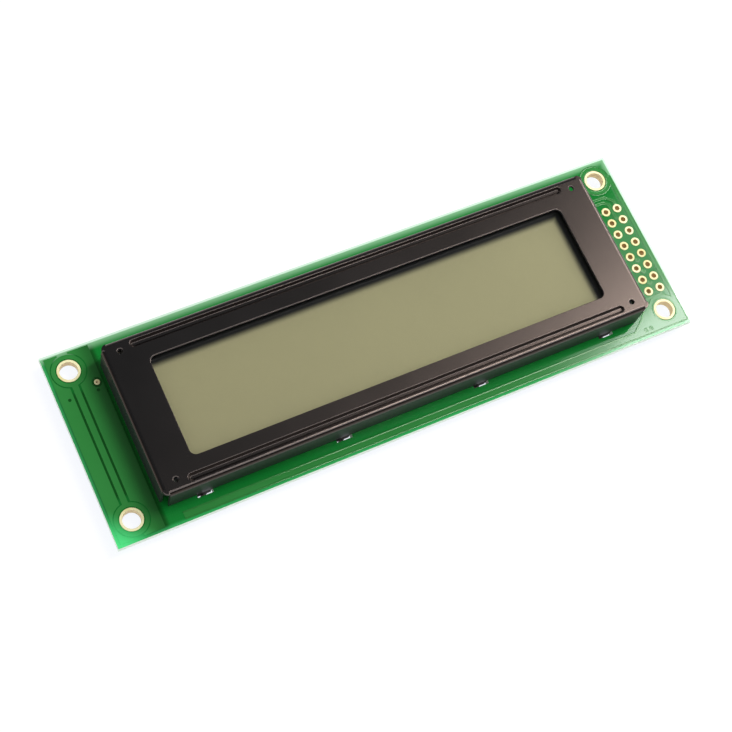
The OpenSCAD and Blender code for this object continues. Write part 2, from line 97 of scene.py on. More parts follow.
def spot_on(tree):
    """Where a spot lies on its piece."""
    return lay(tree, "ShaderNodeTexCoord").outputs["Object"]


def faces(tree):
    """Which way a spot's face points."""
    return lay(tree, "ShaderNodeNewGeometry").outputs["True Normal"]


def parts(tree, vector):
    """The X, Y and Z of a vector."""
    return lay(tree, "ShaderNodeSeparateXYZ", {"Vector": vector}).outputs


def work(tree, operation, a, b=0.0):
    """One step of arithmetic on one or two values."""
    return lay(tree, "ShaderNodeMath", {0: a, 1: b}, operation=operation).outputs[0]


def span(tree, value, low, high, to_low=0.0, to_high=1.0):
    """Value between low and high, carried over smoothly to another range."""
    sockets = {"Value": value, "From Min": low, "From Max": high, "To Min": to_low, "To Max": to_high}
    return lay(tree, "ShaderNodeMapRange", sockets, interpolation_type="SMOOTHSTEP").outputs["Result"]


def tint(tree, mask, a, b):
    """Colour a where the mask is 0, b where it is 1; 6, 7 and 2 are the node's colour sockets."""
    return lay(tree, "ShaderNodeMix", {0: mask, 6: a, 7: b}, data_type="RGBA").outputs[2]


def bump(tree, height, strength, depth, **under):
    """The normal of a rough skin, laid over another normal where one is given."""
    sockets = {"Strength": strength, "Distance": depth, "Height": height, **under}
    return lay(tree, "ShaderNodeBump", sockets).outputs[0]


def group(name, inputs, outputs):
    """An empty effect with named sockets: each input has a start value, each output a kind."""
    made = bpy.data.node_groups.new(name, "ShaderNodeTree")
    for socket, value in inputs.items():
        added = made.interface.new_socket(socket, in_out="INPUT", socket_type="NodeSocketFloat")
        added.default_value = value
    for socket, kind in outputs.items():
        made.interface.new_socket(socket, in_out="OUTPUT", socket_type="NodeSocket" + kind)
    return made, made.nodes.new("NodeGroupInput"), made.nodes.new("NodeGroupOutput")


def effect(tree, made, **values):
    """One use of an effect in a material, with its own values."""
    return lay(tree, "ShaderNodeGroup", spaced(values), node_tree=made)


# fine grain: a slow drift of tone over a surface and a fine height for its bump
grain, given, result = group("fine_grain", {"Drift Scale": 30.0, "Grain Scale": 2000.0},
                             {"Drift": "Float", "Grain": "Float"})
place = spot_on(grain)
drift = lay(grain, "ShaderNodeTexNoise", {"Vector": place, "Scale": given.outputs["Drift Scale"],
                                          "Detail": 3.0})
fine = lay(grain, "ShaderNodeTexNoise", {"Vector": place, "Scale": given.outputs["Grain Scale"],
                                         "Detail": 4.0, "Roughness": 0.6})
grain.links.new(drift.outputs["Fac"], result.inputs["Drift"])
grain.links.new(fine.outputs["Fac"], result.inputs["Grain"])

# glass cloth: the crossing yarns that show faintly through mask and resin, 0.45 mm apart
cloth, given, result = group("glass_cloth", {"Scale": 700.0}, {"Yarns": "Float"})
yarn = {"Vector": spot_on(cloth), "Scale": given.outputs["Scale"], "Distortion": 0.6, "Detail": 1.0}
warp = lay(cloth, "ShaderNodeTexWave", yarn, bands_direction="X").outputs["Fac"]
weft = lay(cloth, "ShaderNodeTexWave", yarn, bands_direction="Y").outputs["Fac"]
cloth.links.new(work(cloth, "MULTIPLY", warp, weft), result.inputs["Yarns"])

# worn edge: a rounded normal at sharp edges, and a patchy mask where handling has rubbed them
wear, given, result = group("worn_edge", {"Radius": 0.0001, "Patch Scale": 300.0, "Wear": 0.5},
                            {"Mask": "Float", "Edge": "Float", "Normal": "Vector"})
rounded = lay(wear, "ShaderNodeBevel", {"Radius": given.outputs["Radius"]}, samples=6).outputs["Normal"]
agree = lay(wear, "ShaderNodeVectorMath", {0: rounded, 1: faces(wear)}, operation="DOT_PRODUCT")
edge = span(wear, agree.outputs["Value"], 0.995, 0.85)
patches = lay(wear, "ShaderNodeTexNoise", {"Vector": spot_on(wear), "Scale": given.outputs["Patch Scale"],
                                           "Detail": 4.0})
worn = span(wear, work(wear, "ADD", patches.outputs["Fac"], given.outputs["Wear"]), 0.95, 1.15)
wear.links.new(work(wear, "MULTIPLY", edge, worn), result.inputs["Mask"])
wear.links.new(edge, result.inputs["Edge"])
wear.links.new(rounded, result.inputs["Normal"])

# dust: a few pale specks, each in a cell of its own
dust, given, result = group("dust", {"Scale": 300.0, "Size": 0.06, "Share": 0.1}, {"Specks": "Float"})
cells = lay(dust, "ShaderNodeTexVoronoi", {"Vector": spot_on(dust), "Scale": given.outputs["Scale"]})
lot = lay(dust, "ShaderNodeSeparateColor", {"Color": cells.outputs["Color"]})
chosen = work(dust, "LESS_THAN", lot.outputs["Red"], given.outputs["Share"])
width = work(dust, "MULTIPLY", given.outputs["Size"], work(dust, "ADD", lot.outputs["Green"], 0.4))
speck = work(dust, "LESS_THAN", cells.outputs["Distance"], width)
dust.links.new(work(dust, "MULTIPLY", chosen, speck), result.inputs["Specks"])

MASK_GREEN = shade(13, 118, 42)
GAP_SHADE_GREEN = shade(14, 78, 25)
CORNER_HIGHLIGHT_GREEN = shade(86, 232, 138)
RIM_HIGHLIGHT_GREEN = shade(150, 205, 158)
LAMINATE_CREAM = shade(238, 250, 240)
LAND_RADIUS = 2.1 * MM  # the plated ring round each mounting hole
LINES_START = 3.6 * MM  # from a hole's middle: the dark lines between areas of copper begin here
LINES_FULL = 5.0 * MM
PAINTED_GLOW_REACH = 8.5 * MM  # the painted glow at the front left corner, measured along both of its edges
PAINTED_GLOW_CORE = 0.5 * MM
# the painted highlight along the board's rim: its width at the left and front, at the right and back, and
# its brightest line
LEFT_FRONT_HIGHLIGHT = 0.9 * MM
RIGHT_BACK_HIGHLIGHT = (1.9 * MM, 0.2 * MM)
RIM_HIGHLIGHT_LINE = (0.5 * MM, 0.25 * MM)
board_low, board_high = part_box("circuit_board")
bezel_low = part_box("bezel")[0]
rings_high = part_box("mounting_hole_lands")[1]


def painted_corner_glow(tree, axes):
    """How far in a spot lies from the left and the front edge, and its share of the corner's painted glow.
    """
    from_left = work(tree, "SUBTRACT", axes["X"], board_low[0])
    from_front = work(tree, "SUBTRACT", axes["Y"], board_low[1])
    glow = span(tree, work(tree, "ADD", from_left, from_front), PAINTED_GLOW_REACH, PAINTED_GLOW_CORE)
    return from_left, from_front, glow


laminate, tree, shader = finish("masked_laminate", Roughness=0.3, IOR=1.5, Specular_IOR_Level=0.42)
where = spot_on(tree)
axes = parts(tree, where)
upward = parts(tree, faces(tree))["Z"]
printed = work(tree, "GREATER_THAN", work(tree, "ABSOLUTE", upward), 0.5)
tone = effect(tree, grain, Drift_Scale=45.0, Grain_Scale=2600.0)
yarns = effect(tree, cloth, Scale=700.0).outputs["Yarns"]
green = tint(tree, span(tree, tone.outputs["Drift"], 0.35, 0.65), MASK_GREEN, shade(18, 124, 47))
green = tint(tree, work(tree, "MULTIPLY", yarns, 0.12), green, shade(40, 140, 66))
# painted shade: on the front, left of the bezel, the narrow lines between areas of copper are painted
# darker than open laminate
aside = work(tree, "SUBTRACT", work(tree, "ABSOLUTE", axes["X"]), rings_high[0] - LAND_RADIUS)
along = work(tree, "SUBTRACT", work(tree, "ABSOLUTE", axes["Y"]), rings_high[1] - LAND_RADIUS)
squares = work(tree, "ADD", work(tree, "MULTIPLY", aside, aside), work(tree, "MULTIPLY", along, along))
off_ring = work(tree, "SQRT", squares)
gap_shade_share = work(tree, "MULTIPLY", span(tree, off_ring, LINES_START, LINES_FULL, 0.3, 1.0),
                  span(tree, axes["X"], bezel_low[0] + 0.5 * MM, bezel_low[0] - 0.5 * MM))
gap_shade_share = work(tree, "MULTIPLY", gap_shade_share, work(tree, "GREATER_THAN", upward, 0.5))
green = tint(tree, gap_shade_share, green, GAP_SHADE_GREEN)
# painted light: the rim along every cut edge is painted paler, and the front left corner is painted as a
# bright glow and sheen
from_left, from_front, corner = painted_corner_glow(tree, axes)
rim = span(tree, work(tree, "MINIMUM", from_left, from_front), LEFT_FRONT_HIGHLIGHT, 0.0, 0.0, 0.35)
green = tint(tree, work(tree, "MAXIMUM", corner, rim), green, CORNER_HIGHLIGHT_GREEN)
to_right = work(tree, "SUBTRACT", board_high[0], axes["X"])
to_back = work(tree, "SUBTRACT", board_high[1], axes["Y"])
outer = work(tree, "MINIMUM", to_right, to_back)
green = tint(tree, span(tree, outer, *RIGHT_BACK_HIGHLIGHT, 0.0, 0.75), green, RIM_HIGHLIGHT_GREEN)
green = tint(tree, span(tree, outer, *RIM_HIGHLIGHT_LINE, 0.0, 0.85), green, shade(226, 252, 234))
# the cut edges show the plies of glass cloth
plies = lay(tree, "ShaderNodeTexWave", {"Vector": where, "Scale": 1500.0, "Distortion": 1.5, "Detail": 2.0},
            bands_direction="Z")
cut = tint(tree, work(tree, "MULTIPLY", plies.outputs["Fac"], 0.25), LAMINATE_CREAM, shade(205, 224, 196))
relief = work(tree, "ADD", work(tree, "MULTIPLY", yarns, 0.5), tone.outputs["Grain"])
feed(tree, shader, Base_Color=tint(tree, printed, cut, green),
     Roughness=span(tree, printed, 0.0, 1.0, 0.6, 0.07), Normal=bump(tree, relief, 0.04, 0.02 * MM))
coat(laminate, "circuit_board")

# ---- The copper under the mask ----
# Foil etched into rings, areas, a supply bus and tracks, then covered by the same green mask.
# The mask looks lighter over copper, and darker in the shade of the bezel's wall.
COPPER_GREEN = shade(47, 129, 58)
WALL_SHADE = (4.5 * MM, 0.3 * MM)  # the darkening starts and ends so far left of the bezel
UNDER_BEZEL = 1.0 * MM

masked_copper, tree, shader = finish("masked_copper", IOR=1.5, Specular_IOR_Level=0.42)
tone = effect(tree, grain, Drift_Scale=60.0, Grain_Scale=1800.0)
axes = parts(tree, spot_on(tree))
green = tint(tree, span(tree, tone.outputs["Drift"], 0.3, 0.7), COPPER_GREEN, shade(52, 134, 63))
near = span(tree, axes["X"], bezel_low[0] - WALL_SHADE[0], bezel_low[0] - WALL_SHADE[1], 0.0, 0.55)
near = work(tree, "MULTIPLY", near, span(tree, axes["X"], bezel_low[0] + UNDER_BEZEL, bezel_low[0]))
green = tint(tree, near, green, shade(12, 40, 14))
# the same painted glow at the front left corner as on the laminate
corner = painted_corner_glow(tree, axes)[2]
feed(tree, shader, Base_Color=tint(tree, corner, green, CORNER_HIGHLIGHT_GREEN),
     Roughness=span(tree, tone.outputs["Drift"], 0.3, 0.7, 0.065, 0.08),
     Normal=bump(tree, tone.outputs["Grain"], 0.05, 0.02 * MM))
coat(masked_copper, "front_copper", "back_copper", "segment_vias")

# ---- The mask's ridges ----
# Where the printed mask runs over the edge of a copper area it dries to a low, glossy ridge.
# The ridge follows the copper's outline and shines where a lamp meets its slopes.
RIDGE_WIDTH = 0.3 * MM
RIDGE_RISE = 0.011 * MM
TOP_SKIN = 0.01 * MM  # only edges this near the copper's top face carry a ridge
CLEAR_OF_WALL = 5 * MM  # ridges start this far right of the bezel's left wall
SHARP_EDGE = 0.8  # radians between the two faces of an edge
JOIN_WITHIN = 1e-6


def plan(name, takes, gives):
    """An empty Geometry Nodes tree, with the kind of each named input and the name of its result."""
    made = bpy.data.node_groups.new(name, "GeometryNodeTree")
    made.is_modifier = True
    for socket, kind in takes.items():
        made.interface.new_socket(socket, in_out="INPUT", socket_type="NodeSocket" + kind)
    made.interface.new_socket(gives, in_out="OUTPUT", socket_type="NodeSocketGeometry")
    return made, made.nodes.new("NodeGroupInput").outputs


def joined(name):
    """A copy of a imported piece's loose triangles, joined where their corners meet."""
    shape = bmesh.new()
    shape.from_mesh(nodes[name].data)
    bmesh.ops.remove_doubles(shape, verts=shape.verts, dist=JOIN_WITHIN)
    return shape


def grow(name, tree, source, sizes):
    """Runs a tree on a mesh, with its inputs set by name, and leaves one plain piece."""
    holder = bpy.data.objects.new(name + "_source", source)
    bpy.context.collection.objects.link(holder)
    maker = holder.modifiers.new(tree.name, "NODES")
    maker.node_group = tree
    for item in tree.interface.items_tree:
        if item.in_out == "INPUT" and item.name in sizes:
            maker[item.identifier] = sizes[item.name]
    made = bpy.data.meshes.new_from_object(holder.evaluated_get(bpy.context.evaluated_depsgraph_get()))
    bpy.data.objects.remove(holder)
    shape = bmesh.new()
    shape.from_mesh(made)
    bmesh.ops.recalc_face_normals(shape, faces=shape.faces)
    shape.to_mesh(made)
    shape.free()
    made.name = name
    piece = bpy.data.objects.new(name, made)
    bpy.context.collection.objects.link(piece)
    return piece


ridges, given = plan("mask_ridge", {"Copper": "Geometry", "Level": "Float", "From X": "Float",
                                    "Width": "Float", "Rise": "Float", "Mask": "Material"}, "Ridges")
sharp = work(ridges, "GREATER_THAN", lay(ridges, "GeometryNodeInputMeshEdgeAngle").outputs[0], SHARP_EDGE)
spot = parts(ridges, lay(ridges, "GeometryNodeInputPosition").outputs[0])
upper = work(ridges, "GREATER_THAN", spot["Z"], given["Level"])
beyond = work(ridges, "GREATER_THAN", spot["X"], given["From X"])
chosen = work(ridges, "MULTIPLY", work(ridges, "MULTIPLY", sharp, upper), beyond)
line = lay(ridges, "GeometryNodeMeshToCurve", {"Mesh": given["Copper"], "Selection": chosen})
level = lay(ridges, "GeometryNodeSetCurveNormal", {"Curve": line.outputs[0]})
circle = lay(ridges, "GeometryNodeCurvePrimitiveCircle", {"Resolution": 12, "Radius": 0.5})
height = work(ridges, "MULTIPLY", given["Rise"], 2.0)
oval = lay(ridges, "ShaderNodeCombineXYZ", {"X": given["Width"], "Y": height, "Z": 1.0})
section = lay(ridges, "GeometryNodeTransform", {"Geometry": circle.outputs[0], "Scale": oval.outputs[0]})
bead = lay(ridges, "GeometryNodeCurveToMesh", {"Curve": level.outputs[0], "Fill Caps": True,
                                               "Profile Curve": section.outputs[0]})
soft = lay(ridges, "GeometryNodeSetShadeSmooth", {"Geometry": bead.outputs[0]})
real = lay(ridges, "GeometryNodeRealizeInstances", {"Geometry": soft.outputs[0]})
masked = lay(ridges, "GeometryNodeSetMaterial", {"Geometry": real.outputs[0], "Material": given["Mask"]})
lay(ridges, "NodeGroupOutput", {"Ridges": masked.outputs[0]})

ridge_mask, tree, shader = finish("mask_ridge", IOR=1.5, Specular_Tint=(0.86, 1.0, 0.80, 1.0))
tone = effect(tree, grain, Drift_Scale=60.0, Grain_Scale=1800.0)
feed(tree, shader, Base_Color=tint(tree, tone.outputs["Drift"], shade(40, 116, 50), shade(52, 130, 62)),
     Roughness=span(tree, tone.outputs["Grain"], 0.3, 0.7, 0.09, 0.13))

copper = joined("front_copper")
copper_outline = bpy.data.meshes.new("copper_outline")
copper.to_mesh(copper_outline)
copper.free()
mask_ridges = grow("mask_ridges", ridges, copper_outline, {
    "Level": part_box("front_copper")[1][2] - TOP_SKIN, "From X": bezel_low[0] + CLEAR_OF_WALL,
    "Width": RIDGE_WIDTH, "Rise": RIDGE_RISE, "Mask": ridge_mask})
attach(mask_ridges, "root")

# ---- The plated lands ----
# Bare rings on both faces and the barrels through the holes, copper plated with pale tin and gold.
# The flat ring is cream; the barrel and the rim of the ring are a warmer copper brown.
LAND_CREAM = shade(247, 241, 192)
BARREL_TAN = shade(244, 222, 182)
HOLE_SHADE_BROWN = shade(206, 172, 88)

# the header holes' barrels are a darker brown than the mounting holes': painted shade deep in the narrow
# holes
for name, barrel, pieces in (("plated_land", BARREL_TAN, ("mounting_hole_lands", "test_via_land")),
                             ("header_land", HOLE_SHADE_BROWN, ("header_hole_lands",))):
    plated, tree, shader = finish(name, Metallic=0.12, Roughness=0.5, Specular_IOR_Level=0.3)
    tone = effect(tree, grain, Drift_Scale=220.0, Grain_Scale=5000.0)
    rim = effect(tree, wear, Radius=0.09 * MM, Patch_Scale=900.0, Wear=0.7)
    upright = span(tree, work(tree, "ABSOLUTE", parts(tree, faces(tree))["Z"]), 0.9, 0.4)
    cream = tint(tree, span(tree, tone.outputs["Drift"], 0.4, 0.7), LAND_CREAM, shade(230, 217, 152))
    cream = tint(tree, work(tree, "MULTIPLY", rim.outputs["Edge"], 0.45), cream, shade(190, 146, 84))
    feed(tree, shader, Base_Color=tint(tree, upright, cream, barrel),
         Roughness=span(tree, tone.outputs["Grain"], 0.3, 0.7, 0.46, 0.6),
         Normal=bump(tree, tone.outputs["Drift"], 0.2, 0.02 * MM, Normal=rim.outputs["Normal"]))
    coat(plated, *pieces)

# ---- The contact fingers ----
# A row of bare gold-flashed fingers on each side of the board, hidden under the rubber strips.
gold, tree, shader = finish("gold_finger", Metallic=1.0, Roughness=0.3)
tone = effect(tree, grain, Drift_Scale=400.0, Grain_Scale=6000.0)
yellow = tint(tree, span(tree, tone.outputs["Drift"], 0.3, 0.7), shade(236, 196, 112), shade(220, 172, 92))
feed(tree, shader, Base_Color=yellow, Roughness=span(tree, tone.outputs["Grain"], 0.3, 0.7, 0.24, 0.38))
coat(gold, "contact_fingers")

# ---- The bezel ----
# Pressed steel sheet, 0.5 mm thick: face, folded walls, two grooves and eight twisted tabs.
# It is stove enamelled satin black, with a fine orange peel and bare steel only where it was rubbed.
ENAMEL = shade(18, 21, 23)
WALL_LIT_GREY = shade(40, 42, 47)
EDGE_HIGHLIGHT_GREY = shade(108, 101, 99)
STEEL = shade(150, 148, 144)
TAB_START = 0.4 * MM  # the tabs turn matt from here above the board's top to TAB_FULL below it
TAB_FULL = 0.1 * MM

enamel, tree, shader = finish("black_enamel", IOR=1.55, Specular_Tint=(1.0, 0.76, 0.64, 1.0))
tone = effect(tree, grain, Drift_Scale=70.0, Grain_Scale=2400.0)
rub = effect(tree, wear, Radius=0.13 * MM, Patch_Scale=160.0, Wear=0.36)
specks = effect(tree, dust, Scale=170.0, Size=0.012, Share=0.06).outputs["Specks"]
black = tint(tree, span(tree, tone.outputs["Drift"], 0.3, 0.7), ENAMEL, shade(23, 25, 27))
# painted light and shade: the walls are painted greyer than the face, down to the tabs, for the light they
# catch from the front; the grooves' sloping sides are painted near black, as shade
upward = parts(tree, faces(tree))["Z"]
slope = work(tree, "ABSOLUTE", upward)
upright = span(tree, slope, 0.5, 0.2)
height = parts(tree, spot_on(tree))["Z"]
below = span(tree, height, board_high[2] + TAB_START, board_high[2] - TAB_FULL)
black = tint(tree, work(tree, "MULTIPLY", upright, work(tree, "SUBTRACT", 1.0, below)), black, WALL_LIT_GREY)
# painted shade on the grooves' sloping sides
flank_shade = work(tree, "SUBTRACT", span(tree, slope, 0.96, 0.8), upright)
black = tint(tree, flank_shade, black, shade(5, 5, 6))
# painted highlight: the edges of the face that were folded or sheared towards the front are painted a
# lighter grey, where they would catch the light
fold = effect(tree, wear, Radius=0.3 * MM, Patch_Scale=160.0, Wear=0.5)
frontward = parts(tree, fold.outputs["Normal"])["Y"]
edge_highlight = work(tree, "MULTIPLY", span(tree, frontward, -0.04, -0.14), span(tree, upward, 0.9, 0.97))
black = tint(tree, edge_highlight, black, EDGE_HIGHLIGHT_GREY)
black = tint(tree, specks, black, shade(120, 118, 112))
satin = span(tree, tone.outputs["Drift"], 0.3, 0.7, 0.2, 0.215)
satin = work(tree, "ADD", satin, work(tree, "MULTIPLY", upright, 0.16))
satin = work(tree, "ADD", satin, work(tree, "MULTIPLY", below, 0.4))
feed(tree, shader, Base_Color=tint(tree, rub.outputs["Mask"], black, STEEL),
     Metallic=work(tree, "MULTIPLY", rub.outputs["Mask"], 0.8), Roughness=satin,
     Normal=bump(tree, tone.outputs["Grain"], 0.1, 0.02 * MM, Normal=rub.outputs["Normal"]))
coat(enamel, "bezel")

# ---- The display cell ----
# Two glass plates with liquid crystal between them, and a polarizer film on each side.
# The clear layers hardly show: the olive grey is the liquid crystal with the polarizer behind it.
# Just inside the right and the back edge of the bezel's window every layer carries a painted shadow of the
# bezel, fading to near black.
WINDOW_OLIVE = shade(164, 157, 115)
SHADOW_BLACK = shade(12, 12, 11)
# where the painted shadow of the bezel starts on each layer, and over what width it darkens
SHADOW_FADE = 1.5 * MM
GLASS_SHADOW = {"Right": 39.1 * MM, "Back": 7.5 * MM, "Fade": SHADOW_FADE}
OLIVE_SHADOW = {"Right": 39.5 * MM, "Back": 7.7 * MM, "Fade": SHADOW_FADE}
FILM_SHADOW = {"Right": 38.8 * MM, "Back": 7.3 * MM, "Fade": SHADOW_FADE}

# window shade: a painted shadow of the bezel, which starts at a line on the right and at one at the back
# and darkens past them
window_shadow, given, result = group("window_shade", {"Right": 0.039, "Back": 0.008, "Fade": 0.0015},
                              {"Shade": "Float"})
place = parts(window_shadow, spot_on(window_shadow))
sides = []
for axis, side in (("X", "Right"), ("Y", "Back")):
    past = work(window_shadow, "SUBTRACT", place[axis], given.outputs[side])
    sides.append(span(window_shadow, work(window_shadow, "DIVIDE", past, given.outputs["Fade"]), 0.0, 1.0))
window_shadow.links.new(work(window_shadow, "MAXIMUM", *sides), result.inputs["Shade"])

clear_glass, tree, shader = finish("cell_glass", Roughness=0.05, IOR=1.5)
tone = effect(tree, grain, Drift_Scale=50.0, Grain_Scale=900.0)
# the painted shadow of the bezel darkens the glass too
dim = effect(tree, window_shadow, **GLASS_SHADOW).outputs["Shade"]
hue = tint(tree, tone.outputs["Drift"], shade(196, 214, 200), shade(206, 220, 206))
rim = lay(tree, "ShaderNodeLayerWeight", {"Blend": 0.35}).outputs["Facing"]
feed(tree, shader, Base_Color=tint(tree, dim, hue, shade(12, 13, 12)),
     Alpha=span(tree, rim, 0.0, 1.0, 0.03, 0.4))
coat(clear_glass, "front_glass", "rear_glass")

for name, piece in (("liquid_crystal", "liquid_crystal"), ("rear_polarizer_film", "rear_polarizer")):
    opaque, tree, shader = finish(name, Roughness=0.75, IOR=1.45)
    tone = effect(tree, grain, Drift_Scale=28.0, Grain_Scale=6500.0)
    olive = tint(tree, span(tree, tone.outputs["Drift"], 0.3, 0.7), WINDOW_OLIVE, shade(168, 161, 118))
    fleck = span(tree, tone.outputs["Grain"], 0.35, 0.65, 0.0, 0.25)
    olive = tint(tree, fleck, olive, shade(153, 148, 109))
    # the painted shadow of the bezel turns the olive to black
    dim = effect(tree, window_shadow, **OLIVE_SHADOW).outputs["Shade"]
    feed(tree, shader, Base_Color=tint(tree, dim, olive, SHADOW_BLACK),
         Normal=bump(tree, tone.outputs["Grain"], 0.15, 0.01 * MM))
    coat(opaque, piece)

front_film, tree, shader = finish("front_polarizer_film", Roughness=0.5, IOR=1.49, Specular_IOR_Level=0.25)
tone = effect(tree, grain, Drift_Scale=40.0, Grain_Scale=5000.0)
specks = effect(tree, dust, Scale=200.0, Size=0.016, Share=0.09).outputs["Specks"]
hue = tint(tree, tone.outputs["Drift"], shade(120, 124, 98), shade(134, 134, 104))
# the painted shadow of the bezel darkens the film
dim = effect(tree, window_shadow, **FILM_SHADOW).outputs["Shade"]
hue = tint(tree, dim, hue, SHADOW_BLACK)
feed(tree, shader, Base_Color=tint(tree, specks, hue, shade(235, 235, 225)),
     Alpha=work(tree, "ADD", 0.08, work(tree, "MULTIPLY", specks, 0.5)),
     Normal=bump(tree, tone.outputs["Grain"], 0.1, 0.01 * MM))
coat(front_film, "front_polarizer")

foil, tree, shader = finish("reflector_foil", Metallic=0.9, Roughness=0.45)
tone = effect(tree, grain, Drift_Scale=90.0, Grain_Scale=4000.0)
feed(tree, shader, Base_Color=tint(tree, tone.outputs["Drift"], shade(205, 206, 196), shade(222, 222, 212)),
     Roughness=span(tree, tone.outputs["Grain"], 0.3, 0.7, 0.38, 0.52))
coat(foil, "reflector")

# ---- Seal, plug, rubber strips and moulded frame ----
# The black epoxy line and the resin bead that close the cell, the striped rubber that carries its
# signals to the board, and the off-white frame that it lies on. All lie hidden under the bezel.
seal, tree, shader = finish("seal_epoxy", Roughness=0.5)
tone = effect(tree, grain, Drift_Scale=300.0, Grain_Scale=4000.0)
feed(tree, shader, Base_Color=tint(tree, tone.outputs["Drift"], shade(16, 16, 15), shade(24, 24, 22)))
coat(seal, "cell_seal")

plug, tree, shader = finish("port_resin", Roughness=0.25)
tone = effect(tree, grain, Drift_Scale=500.0, Grain_Scale=3000.0)
feed(tree, shader, Base_Color=tint(tree, tone.outputs["Drift"], shade(214, 196, 128), shade(196, 172, 98)),
     Normal=bump(tree, tone.outputs["Drift"], 0.3, 0.05 * MM))
coat(plug, "fill_port_plug")

rubber, tree, shader = finish("striped_rubber", Roughness=0.6)
layers = lay(tree, "ShaderNodeTexWave", {"Vector": spot_on(tree), "Scale": 1745.0}, bands_direction="X")
stripes = span(tree, layers.outputs["Fac"], 0.4, 0.6)
feed(tree, shader, Base_Color=tint(tree, stripes, shade(34, 34, 36), shade(196, 194, 186)),
     Normal=bump(tree, stripes, 0.2, 0.02 * MM))
coat(rubber, "elastomer_strips")

moulding, tree, shader = finish("frame_plastic", Roughness=0.45, Subsurface_Weight=0.1,
                                Subsurface_Scale=0.5 * MM)
tone = effect(tree, grain, Drift_Scale=80.0, Grain_Scale=3500.0)
rim = effect(tree, wear, Radius=0.15 * MM, Patch_Scale=300.0, Wear=0.4)
feed(tree, shader, Base_Color=tint(tree, tone.outputs["Drift"], shade(222, 222, 212), shade(232, 231, 224)),
     Normal=bump(tree, tone.outputs["Grain"], 0.12, 0.03 * MM, Normal=rim.outputs["Normal"]))
coat(moulding, "holder_frame")

# ---- The chips' resin ----
# Black epoxy dropped over the two bare chips on the back and cured to low glossy domes.
# It has soft waves, a few pinholes and a skin that is glossier in some places than in others.
resin, tree, shader = finish("blob_resin", Roughness=0.3, IOR=1.52)
tone = effect(tree, grain, Drift_Scale=160.0, Grain_Scale=1800.0)
pits = effect(tree, dust, Scale=700.0, Size=0.18, Share=0.05).outputs["Specks"]
skin = work(tree, "ADD", tone.outputs["Drift"], work(tree, "MULTIPLY", tone.outputs["Grain"], 0.1))
skin = work(tree, "SUBTRACT", skin, work(tree, "MULTIPLY", pits, 0.6))
feed(tree, shader, Base_Color=tint(tree, tone.outputs["Drift"], shade(14, 14, 15), shade(26, 25, 25)),
     Roughness=span(tree, tone.outputs["Drift"], 0.3, 0.7, 0.22, 0.42),
     Normal=bump(tree, skin, 0.4, 0.15 * MM))
coat(resin, "controller_blob", "driver_blob")

# ---- Chip resistors and capacitors ----
# Resistors are white alumina with a black glaze on the side away from the board; capacitors are
# fired tan ceramic. Both have tinned ends, and stand in small bright fillets of solder.
glaze, tree, shader = finish("resistor_body", Roughness=0.3)
tone = effect(tree, grain, Drift_Scale=700.0, Grain_Scale=5000.0)
black = tint(tree, tone.outputs["Drift"], shade(20, 20, 22), shade(40, 40, 42))
white = tint(tree, tone.outputs["Drift"], shade(226, 224, 216), shade(240, 238, 232))
glazed = work(tree, "LESS_THAN", parts(tree, faces(tree))["Z"], -0.5)
feed(tree, shader, Base_Color=tint(tree, glazed, white, black),
     Normal=bump(tree, tone.outputs["Drift"], 0.3, 0.03 * MM))
coat(glaze, "chip_resistors")

ceramic, tree, shader = finish("capacitor_body", Roughness=0.55)
tone = effect(tree, grain, Drift_Scale=500.0, Grain_Scale=6000.0)
rim = effect(tree, wear, Radius=0.08 * MM, Patch_Scale=900.0, Wear=0.5)
tan = tint(tree, tone.outputs["Drift"], shade(176, 146, 108), shade(196, 168, 130))
feed(tree, shader, Base_Color=tint(tree, rim.outputs["Mask"], tan, shade(210, 190, 158)),
     Normal=bump(tree, tone.outputs["Grain"], 0.2, 0.02 * MM, Normal=rim.outputs["Normal"]))
coat(ceramic, "chip_capacitors")

tinned, tree, shader = finish("tinned_metal", Metallic=1.0, Roughness=0.35)
tone = effect(tree, grain, Drift_Scale=900.0, Grain_Scale=5000.0)
rim = effect(tree, wear, Radius=0.06 * MM, Patch_Scale=900.0, Wear=0.5)
feed(tree, shader, Base_Color=tint(tree, tone.outputs["Drift"], shade(196, 196, 194), shade(222, 222, 218)),
     Roughness=span(tree, tone.outputs["Grain"], 0.3, 0.7, 0.26, 0.46),
     Normal=bump(tree, tone.outputs["Drift"], 0.35, 0.03 * MM, Normal=rim.outputs["Normal"]))
coat(tinned, "chip_terminals", "solder_fillets")

# ---- Printed ink on the back ----
# A white line is screened round each chip and each resin drop, to show where the parts belong.
# It is a thin raised film of ink that crosses mask and tracks.
INK_LINE = 0.16 * MM
INK_FILM = 0.062 * MM
CHIP_FRAME = {"Length": 5.3 * MM, "Width": 2.4 * MM, "Corner": 0.3 * MM}
RING_ROOM = 1.4 * MM  # how much wider a ring is than its drop of resin


def solids_of(name):
    """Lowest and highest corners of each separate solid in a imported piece."""
    shape = joined(name)
    left, found = set(shape.verts), []
    while left:
        reach = [left.pop()]
        solid = set(reach)
        while reach:
            for edge_of in reach.pop().link_edges:
                for v in edge_of.verts:
                    if v in left:
                        left.discard(v)
                        solid.add(v)
                        reach.append(v)
        corners = [Vector([pick(v.co[k] for v in solid) for k in range(3)]) for pick in (min, max)]
        found.append(tuple(corners))
    shape.free()
    return sorted(found, key=lambda ends: tuple(ends[0]))


